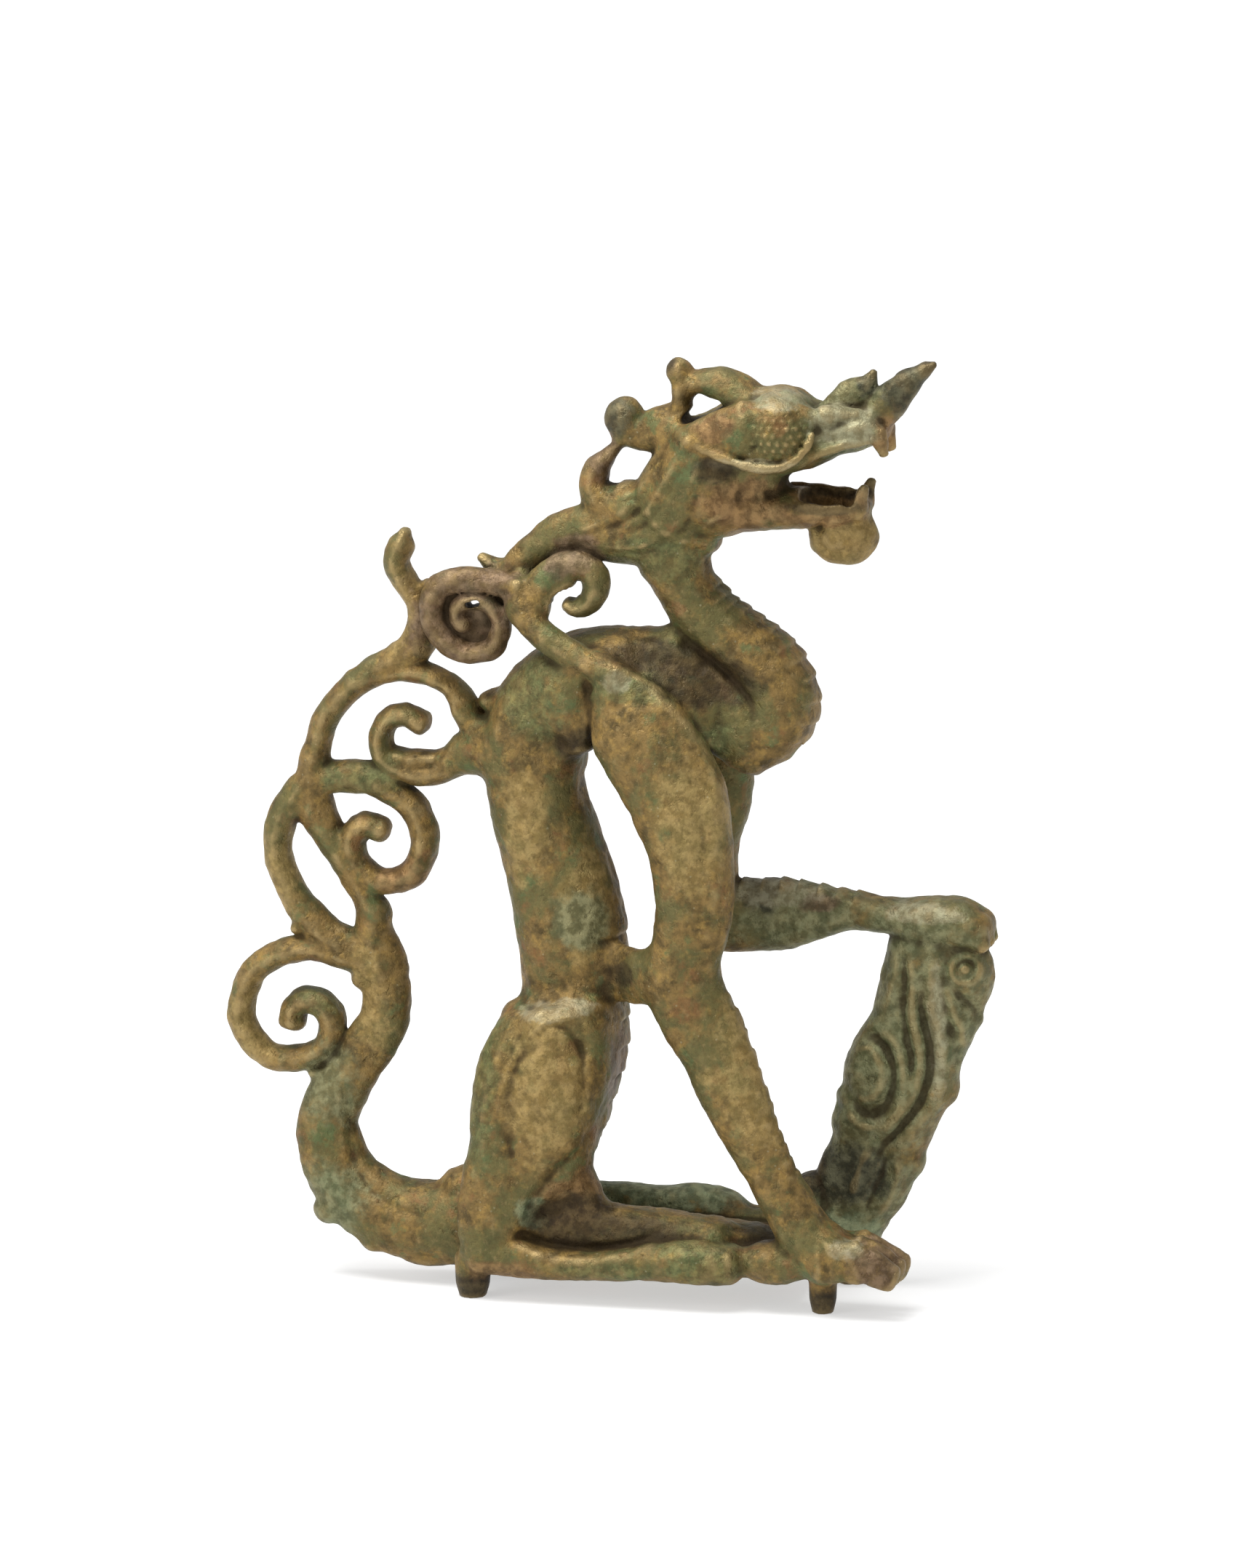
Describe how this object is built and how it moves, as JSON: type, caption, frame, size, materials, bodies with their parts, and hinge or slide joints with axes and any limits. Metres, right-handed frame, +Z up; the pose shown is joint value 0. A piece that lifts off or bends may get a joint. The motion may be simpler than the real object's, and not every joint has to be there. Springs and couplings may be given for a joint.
{
  "type": "bronze dragon figure",
  "caption": "Seated cast bronze dragon with raised open-mouthed head, openwork scroll tail and one paw on a cloud scroll, standing on short pegs.",
  "frame": {"origin": "on the standing plane, at the middle of the figure's length and depth", "axes": "+X towards the dragon's snout, +Y towards its left side, +Z up"},
  "size_m": [0.1606, 0.043, 0.1989],
  "materials": {
    "bronze": "patinated cast bronze, ochre brown with green and grey-green corrosion"
  },
  "bodies": {
    "root": {"dragon": "bronze"}
  },
  "joints": []
}
